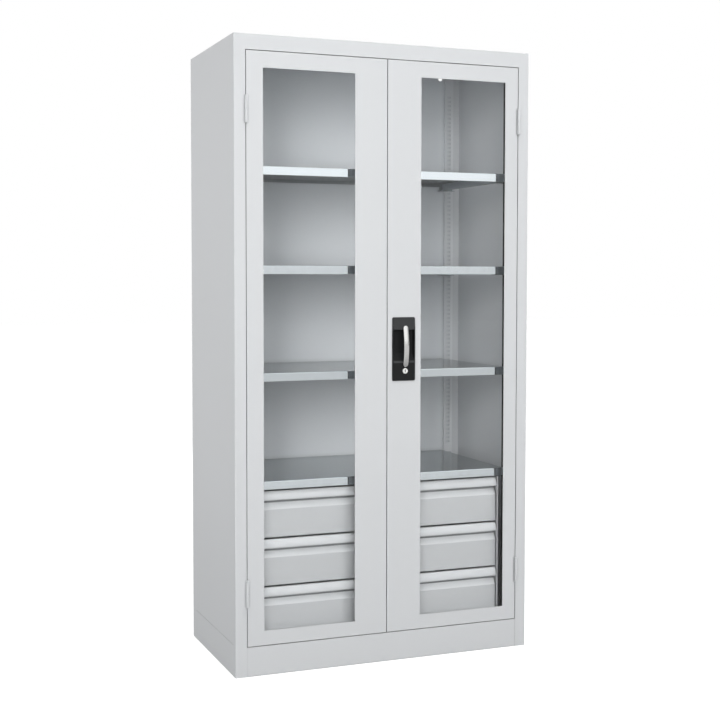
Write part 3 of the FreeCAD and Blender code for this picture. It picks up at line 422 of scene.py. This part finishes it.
def rounded_loop(left, right, bottom, top, radius, y):
    """A rectangle with rounded corners at one depth: quarter circles and evenly divided straight sides."""
    turn = np.linspace(0, math.pi / 2, CORNER_STEPS + 1)
    middles = [(right - radius, top - radius), (left + radius, top - radius),
               (left + radius, bottom + radius), (right - radius, bottom + radius)]
    arcs = [np.stack([x + radius * np.cos(turn + quarter * math.pi / 2),
                      z + radius * np.sin(turn + quarter * math.pi / 2)], 1)
            for quarter, (x, z) in enumerate(middles)]
    share = np.linspace(0, 1, SIDE_STEPS + 1)[1:-1, None]
    runs = [arc[-1] + share * (after[0] - arc[-1]) for arc, after in zip(arcs, arcs[1:] + arcs[:1])]
    flat = np.concatenate([half for pair in zip(arcs, runs) for half in pair])
    return np.stack([flat[:, 0], np.full(len(flat), y), flat[:, 1]], 1)


# The plate is one run of loops: the dish from its floor outwards, the edge of its mouth, the flat front,
# the rim, and back along the door's skin to the cup behind.
(left, front, bottom), (right, back, top) = box_mm("handle_plate")
skin_y = front + PLATE_PROUD
outward = np.array([-1.0, 1.0, -1.0, 1.0])
mouth = np.array([left + DISH_SIDE, right - DISH_SIDE, bottom + DISH_BOTTOM, top - DISH_TOP])
edge = np.array([left + PLATE_RIM, right - PLATE_RIM, bottom + PLATE_RIM, top - PLATE_RIM])
loops = []
for depth in np.linspace(DISH_DEPTH, DISH_EDGE, DISH_LOOPS):
    past = max(depth - (DISH_DEPTH - DISH_ROUND), 0)
    inset = DISH_ROUND - math.sqrt(DISH_ROUND ** 2 - past ** 2)
    rise = DISH_SLOPE * depth / DISH_DEPTH
    loops.append(rounded_loop(*(mouth + [inset, -inset, rise, 0]), DISH_CORNER, front + depth))
first_edge = len(loops) - 1
for angle in np.linspace(0, math.pi / 2, EDGE_LOOPS + 1)[1:]:
    depth = DISH_EDGE * (1 - math.sin(angle))
    rise = DISH_SLOPE * depth / DISH_DEPTH
    flare = mouth + DISH_EDGE_OUT * (1 - math.cos(angle))
    loops.append(rounded_loop(*(flare + [0, 0, rise, 0]), DISH_CORNER, front + depth))
first_flat = len(loops) - 1
for share in np.linspace(0, 1, FLAT_LOOPS + 1)[1:]:
    radius = DISH_CORNER + share * (PLATE_CORNER - PLATE_RIM - DISH_CORNER)
    loops.append(rounded_loop(*(flare + share * (edge - flare)), radius, front))
last_flat = len(loops) - 1
for angle in np.linspace(0, math.pi / 2, RIM_LOOPS + 1)[1:]:
    out = PLATE_RIM * math.sin(angle)
    loops.append(rounded_loop(*(edge + out * outward), PLATE_CORNER - PLATE_RIM + out,
                              front + PLATE_RIM * (1 - math.cos(angle))))
for loop in loops[first_flat:]:
    loop[:, 1] += PANEL_LEAN * np.clip((loop[:, 2] - mouth[3]) / (top - mouth[3]), 0, 1)
cup = mouth + CUP_WALL * outward
loops.append(rounded_loop(left, right, bottom, top, PLATE_CORNER, skin_y))
loops.append(rounded_loop(*cup, DISH_CORNER, skin_y))
loops.append(rounded_loop(*cup, DISH_CORNER, back))
points, faces = skin(loops)
ring = len(loops[0])
foot = mouth[2] + DISH_SLOPE * DISH_EDGE / DISH_DEPTH


def plate_mark(corners):
    """A face's finish: 2 inside the dish, 1 on the panel over it and on the edge at its foot, else 0."""
    inner, outer = min(corners) // ring, max(corners) // ring
    heights = points[corners, 2]
    if outer <= first_edge:
        return 2
    if outer <= first_flat:
        return int(heights.max() < foot + MARK_SLACK)
    return int(inner >= first_flat and outer <= last_flat and heights.min() > mouth[3] - MARK_SLACK)


marks = [plate_mark(corners) for corners in faces]
new_piece("recessed_handle_plate", [(points, faces, marks)], [moulded, panel, dish], "right_door",
          "black_moulding", "handle_plate")

# Bow lever: a zinc die casting, satin nickel plated, with a bowed grip that stands off the plate. It is
# pinned through a round boss to the spindle at its upper end. Brush marks along the grip soften its shine.
NICKEL = "#F2F2F0"
SATIN_ROUGHNESS = (0.14, 0.22)
BRUSH_MM = 1.6            # finer in fact, drawn wide enough to show
BRUSH_STRETCH = (1.0, 1.0, 0.12)
BOW_BULGE = 6.7
BOW_HALF_THICK = 4.5
BOW_POWER = 0.85          # of the section's sine and cosine, a little squarer than an ellipse
BOW_TIP = 0.12            # angle at which a rounded end stops short of its pole
BOSS_RADIUS = 8.0
BOSS_STEPS = ((1.0, 0.0), (0.0, 0.6), (0.4, 4.5))         # inset from the radius, and height
SECTION_STEPS, BOW_STEPS, CAP_STEPS = 40, 36, 10
AROUND = np.linspace(0, 2 * math.pi, SECTION_STEPS, endpoint=False)
nickel, tree, shader, coords = new_finish("satin_nickel")
along = add_node(tree, "Mapping", {"Vector": coords, "Scale": BRUSH_STRETCH})
brushed = add_node(tree, "TexNoise", {"Vector": along.outputs["Vector"], "Scale": per_metre(BRUSH_MM)})
satin = add_node(tree, "MapRange", {"Value": brushed.outputs["Fac"], "To Min": SATIN_ROUGHNESS[0],
                                    "To Max": SATIN_ROUGHNESS[1]})
wire(tree, shader, Roughness=satin.outputs["Result"])
shader.inputs["Base Color"].default_value = linear(NICKEL)
shader.inputs["Metallic"].default_value = 1.0

(bow_left, bow_front, bow_bottom), (bow_right, bow_back, bow_top) = box_mm("bow_grip")
half_width = (bow_right - bow_left) / 2
half_span = (bow_top - bow_bottom) / 2 - half_width
bow_x, bow_z = (bow_left + bow_right) / 2, (bow_bottom + bow_top) / 2
bow_radius = (half_span ** 2 + BOW_BULGE ** 2) / (2 * BOW_BULGE)


def bow_loops():
    """An oval section carried along a shallow arc, shrinking as a quarter circle over each rounded end."""
    cap = half_width * np.sin(np.linspace(0, math.pi / 2 - BOW_TIP, CAP_STEPS))
    straight = np.linspace(-half_span, half_span, BOW_STEPS)[1:-1]
    reach = np.concatenate([-half_span - cap[::-1], straight, half_span + cap])
    beyond = np.clip(np.abs(reach) - half_span, 0, None) / half_width
    size = np.sqrt(1 - beyond ** 2)[:, None]
    lean = np.arcsin(np.clip(reach / bow_radius, -1, 1))[:, None]
    across = half_width * size * np.sign(np.cos(AROUND)) * np.abs(np.cos(AROUND)) ** BOW_POWER
    outward = BOW_HALF_THICK * size * np.sign(np.sin(AROUND)) * np.abs(np.sin(AROUND)) ** BOW_POWER
    middle_y = bow_front + BOW_HALF_THICK + bow_radius * (1 - np.cos(lean))
    y = middle_y - outward * np.cos(lean)
    z = bow_z + reach[:, None] + outward * np.sin(lean)
    return list(np.stack([bow_x + across, y, z], 2))


def turned_loops(x, z, profile):
    """A profile of (radius, y) pairs turned about an axis along y."""
    return [np.stack([x + radius * np.cos(AROUND), np.full(SECTION_STEPS, y),
                      z + radius * np.sin(AROUND)], 1) for radius, y in profile]


boss = turned_loops(bow_x, bow_top - half_width,
                    [(BOSS_RADIUS - inset, bow_back - height) for inset, height in BOSS_STEPS])
new_piece("bowed_lever", [(*skin(bow_loops()), 0), (*skin(boss), 0)], [nickel], "lever", "bright_metal",
          "bow_grip")

# Lock cylinder: a turned brass barrel, nickel plated and bead blasted, with a plug inside a fine ring and
# an upright key slot. It turns in the handle plate and carries the tongue behind. Its pitted skin scatters
# light nearly as paint does.
BLASTED_ROUGHNESS = (0.5, 0.65)
BLASTED_METALLIC = 0.45
PIT_MM = 0.8
RIM_STEPS = ((0.0, 0.7), (0.25, 0.2), (0.8, 0.0))         # the face's rim: inset from the radius, and depth
PLUG_RADIUS = 6.0
PLUG_STEPS = ((0.35, 0.0), (0.0, 0.5), (-0.35, 0.1))      # the ring's groove: out from the plug, and depth
KEY_WIDE, KEY_TALL = 2.4, 9.0
KEY_STEPS = ((0.1, 0.3), (0.4, 0.0), (6.0, 0.0))          # the slot's depth, and how far it flares
blasted, tree, shader, coords = new_finish("bead_blasted_nickel")
pits = add_node(tree, "TexNoise", {"Vector": coords, "Scale": per_metre(PIT_MM), "Detail": 1.0})
matt = add_node(tree, "MapRange", {"Value": pits.outputs["Fac"], "To Min": BLASTED_ROUGHNESS[0],
                                   "To Max": BLASTED_ROUGHNESS[1]})
wire(tree, shader, Roughness=matt.outputs["Result"])
shader.inputs["Base Color"].default_value = linear(NICKEL)
shader.inputs["Metallic"].default_value = BLASTED_METALLIC

(lock_left, lock_front, lock_bottom), (lock_right, lock_back, lock_top) = box_mm("lock_cylinder")
lock_x, lock_z = (lock_left + lock_right) / 2, (lock_bottom + lock_top) / 2
lock_radius = (lock_right - lock_left) / 2


def key_loop(y, grow):
    """The key slot's outline: a narrow upright oval stretched from a circle's points."""
    x = np.clip(np.cos(AROUND) * 2, -1, 1) * (KEY_WIDE / 2 + grow)
    z = np.sin(AROUND) * (KEY_TALL / 2 + grow)
    return np.stack([lock_x + x, np.full(SECTION_STEPS, y), lock_z + z], 1)


profile = [(lock_radius, lock_back)]
profile += [(lock_radius - inset, lock_front + depth) for inset, depth in RIM_STEPS]
profile += [(PLUG_RADIUS + out, lock_front + depth) for out, depth in PLUG_STEPS]
face_loops = turned_loops(lock_x, lock_z, profile)
slot_loops = [key_loop(lock_front + depth, grow) for depth, grow in KEY_STEPS]
points, faces = skin(face_loops + slot_loops)
# painted shade: the key slot's inside takes the black ABS
first_dark = (len(face_loops) + 1) * SECTION_STEPS
marks = [int(min(corners) >= first_dark) for corners in faces]
new_piece("lock_barrel", [(points, faces, marks)], [blasted, moulded], "cylinder", "bright_metal",
          "lock_cylinder")

# Edge trims: black plastic profiles on the front posts' inner flanges, from top to bottom. They are painted
# shade: a dark line behind the window where the slot behind the doors lies in shade.
TRIM_WIDE, TRIM_THICK, TRIM_PROUD, TRIM_SHORT = 4.6, 4.5, 1.0, 6.0
TRIM_POWER = 0.45         # of the section's sine and cosine, which squares it up
TRIM_LOOPS = 40
FLANGE_LAP, FLANGE_SHEET = 4.0, 1.5       # the flange runs past the upright by its lap


def trim_loop(low_x, middle_y, z):
    """A rounded-end section at one height: a circle's points squared up by a power of sine and cosine."""
    wave = np.stack([np.cos(AROUND), np.sin(AROUND)], 1)
    corner = np.sign(wave) * np.abs(wave) ** TRIM_POWER
    return np.stack([low_x + TRIM_WIDE / 2 * (1 + corner[:, 0]), middle_y + TRIM_THICK / 2 * corner[:, 1],
                     np.full(SECTION_STEPS, z)], 1)


upright_low = box_mm("right_front_upright")[0]
trim_x = upright_low[0] - FLANGE_LAP - TRIM_PROUD
trim_y = upright_low[1] - FLANGE_SHEET / 2
door_low, door_high = box_mm("right_door")
# painted shade: dark strips in the slot behind the doors
for side, turn in (("left", -1), ("right", 1)):
    loops = [trim_loop(trim_x, trim_y, z) * [turn, 1, 1]
             for z in np.linspace(door_low[2] + TRIM_SHORT, door_high[2] - TRIM_SHORT, TRIM_LOOPS)]
    new_piece(f"{side}_post_painted_shade_strip", [(*skin(loops), 0)], [moulded], "cabinet", "black_moulding")

# Floor glides: light grey polyamide discs, moulded and pressed into the case's four corners from below.
# Floors scuff them to an uneven matt, and under the plinth they hardly show.
GLIDE_GREY = "#B4B7BA"
GLIDE_ROUGHNESS = (0.45, 0.65)
SCUFF_MM = 3.0
glide, tree, shader, coords = new_finish("moulded_polyamide")
scuffs = add_node(tree, "TexNoise", {"Vector": coords, "Scale": per_metre(SCUFF_MM), "Detail": 2.0})
matt = add_node(tree, "MapRange", {"Value": scuffs.outputs["Fac"], "To Min": GLIDE_ROUGHNESS[0],
                                   "To Max": GLIDE_ROUGHNESS[1]})
wire(tree, shader, Roughness=matt.outputs["Result"])
shader.inputs["Base Color"].default_value = linear(GLIDE_GREY)
dress(glide, "floor_glides")

# Studio: a white room with weak light from all round and softboxes about the cabinet, three of them in
# front at head height so that light comes through the panes, and one high in front for a soft fall of
# light down the doors. Its matt painted floor takes the cabinet's shadow.
ROOM_LEVEL = 0.24
FLOOR_GREY = "#8C8C8C"    # its own paint, which sends little light up; the lift below shows it white
FLOOR_ROUGHNESS = 0.9
FLOOR_SPAN = 60.0
FLOOR_LIFT = 0.95
FLOOR_MIRRORED = (0.0, 0.495)     # in metal and gloss it is dark by the cabinet and pale far off,
FLOOR_REACH = (2.0, 7.0)          # as a studio sweep is,
HORIZON = (-0.02, 0.08)           # the wall brightens from its foot upwards,
HORIZON_MIRRORED = 0.55
RIGHT_WALL = (0.45, 0.95)         # and its far right is unlit, which shades the lever's right flank
RIGHT_MIRRORED = 0.2
ONE_MIRROR = 0.5                  # a ray's Glossy Depth is over this once it has left a mirror
STUDIO_WHITE = "#FFFFFF"
SEEN_RAYS = ("Is Camera Ray", "Is Glossy Ray", "Is Transmission Ray")


def in_mirrors(tree):
    """One where the ray has left a mirror, and zero elsewhere."""
    depth = add_node(tree, "LightPath").outputs["Glossy Depth"]
    past = add_node(tree, "Math", {0: depth, 1: ONE_MIRROR}, operation="GREATER_THAN")
    return past.outputs["Value"]


world = bpy.data.worlds.new("studio")
world.use_nodes = True
bpy.context.scene.world = world
tree = world.node_tree
gaze = add_node(tree, "SeparateXYZ", {"Vector": add_node(tree, "TexCoord").outputs["Generated"]})
aside = add_node(tree, "MapRange", {"Value": gaze.outputs["X"], "From Min": RIGHT_WALL[0],
                                    "From Max": RIGHT_WALL[1], "To Min": 1.0, "To Max": RIGHT_MIRRORED})
upward = add_node(tree, "MapRange", {"Value": gaze.outputs["Z"], "From Min": HORIZON[0],
                                     "From Max": HORIZON[1], "To Min": HORIZON_MIRRORED, "To Max": 1.0})
wall = add_node(tree, "Math", {0: aside.outputs["Result"], 1: upward.outputs["Result"]},
                operation="MULTIPLY")
shown = add_node(tree, "MapRange", {"Value": in_mirrors(tree), "To Min": 1.0,
                                    "To Max": wall.outputs["Value"]})
level = add_node(tree, "MapRange", {"Value": ray_is(tree, *SEEN_RAYS), "To Min": ROOM_LEVEL,
                                    "To Max": shown.outputs["Result"]})
backdrop = tree.nodes["Background"]
backdrop.inputs["Color"].default_value = linear(STUDIO_WHITE)
tree.links.new(level.outputs["Result"], backdrop.inputs["Strength"])

floor_mesh = bpy.data.meshes.new("studio_floor")
half = FLOOR_SPAN / 2
floor_mesh.from_pydata([(-half, -half, 0), (half, -half, 0), (half, half, 0), (-half, half, 0)], [],
                       [(0, 1, 2, 3)])
floor = bpy.data.objects.new("studio_floor", floor_mesh)
bpy.context.scene.collection.objects.link(floor)
floor_paint, tree, shader, coords = new_finish("matt_floor_paint")
away = add_node(tree, "VectorMath", {0: coords}, operation="LENGTH")
sweep = add_node(tree, "MapRange", {"Value": away.outputs["Value"], "From Min": FLOOR_REACH[0],
                                    "From Max": FLOOR_REACH[1], "To Min": FLOOR_MIRRORED[0],
                                    "To Max": FLOOR_MIRRORED[1]})
lift = add_node(tree, "MapRange", {"Value": in_mirrors(tree), "To Min": FLOOR_LIFT,
                                   "To Max": sweep.outputs["Result"]})
seen = add_node(tree, "Math", {0: ray_is(tree, *SEEN_RAYS), 1: lift.outputs["Result"]},
                operation="MULTIPLY")
wire(tree, shader, Emission_Strength=seen.outputs["Value"])
shader.inputs["Emission Color"].default_value = linear(STUDIO_WHITE)
shader.inputs["Base Color"].default_value = linear(FLOOR_GREY)
shader.inputs["Roughness"].default_value = FLOOR_ROUGHNESS
shader.inputs["Specular IOR Level"].default_value = 0.0
floor_mesh.materials.append(floor_paint)


def softbox(name, place, aim, width, height, watts):
    """A rectangular lamp facing its aim point, left out of mirrors and panes."""
    lamp = bpy.data.lights.new(name, "AREA")
    lamp.shape = "RECTANGLE"
    lamp.size, lamp.size_y = width, height
    lamp.energy = watts
    box = bpy.data.objects.new(name, lamp)
    box.location = place
    x, y, z = (goal - start for goal, start in zip(aim, place))
    box.rotation_euler = (math.atan2(math.hypot(x, y), -z), 0.0, math.atan2(-x, y))
    box.visible_glossy = False
    box.visible_transmission = False
    bpy.context.scene.collection.objects.link(box)


HEAD_HEIGHT = 1.92
DOORS_MIDDLE = (0.0, -0.25, 1.1)
softbox("front_left", (-2.6, -3.75, HEAD_HEIGHT), DOORS_MIDDLE, 1.6, 2.4, 63.0)
softbox("front_middle", (-0.7, -4.6, HEAD_HEIGHT), DOORS_MIDDLE, 1.4, 2.4, 53.0)
softbox("front_right", (1.7, -4.4, HEAD_HEIGHT), DOORS_MIDDLE, 1.6, 2.4, 65.0)
softbox("front_above", (-0.5, -5.0, 9.0), (0.0, -0.25, 0.9), 4.0, 3.0, 300.0)
softbox("left", (-3.6, 0.6, 1.05), (-0.5, 0.0, 0.8), 1.8, 1.8, 50.0)
softbox("right", (3.6, 0.6, 1.3), (0.5, 0.0, 0.85), 1.8, 1.8, 54.0)
softbox("back", (0.0, 4.5, 2.2), (0.0, 0.25, 1.1), 2.4, 1.8, 90.0)
softbox("above", (0.0, 0.0, 5.0), (0.0, 0.001, 1.9), 2.6, 2.6, 60.0)

# Camera: at chest height to the left of the middle, as the photograph was taken, its frame shifted slightly
# and its view tilted a little down.
IMAGE_SIDE = 720
SENSOR_MM = 36.0
FOCAL_PIXELS = 1263.17
EYE = (-1.58456, -3.89605, 1.21559)
TURN = 0.36567
TILT_DEGREES = 2.668
SHIFT = (0.04, -0.03)
camera = bpy.data.cameras.new("camera")
camera.sensor_width = SENSOR_MM
camera.lens = FOCAL_PIXELS * SENSOR_MM / IMAGE_SIDE
camera.shift_x, camera.shift_y = SHIFT
camera_object = bpy.data.objects.new("camera", camera)
camera_object.location = EYE
camera_object.rotation_euler = (math.radians(90.0 - TILT_DEGREES), 0.0, -TURN)
bpy.context.scene.collection.objects.link(camera_object)
bpy.context.scene.camera = camera_object
bpy.context.scene.view_settings.view_transform = "Standard"
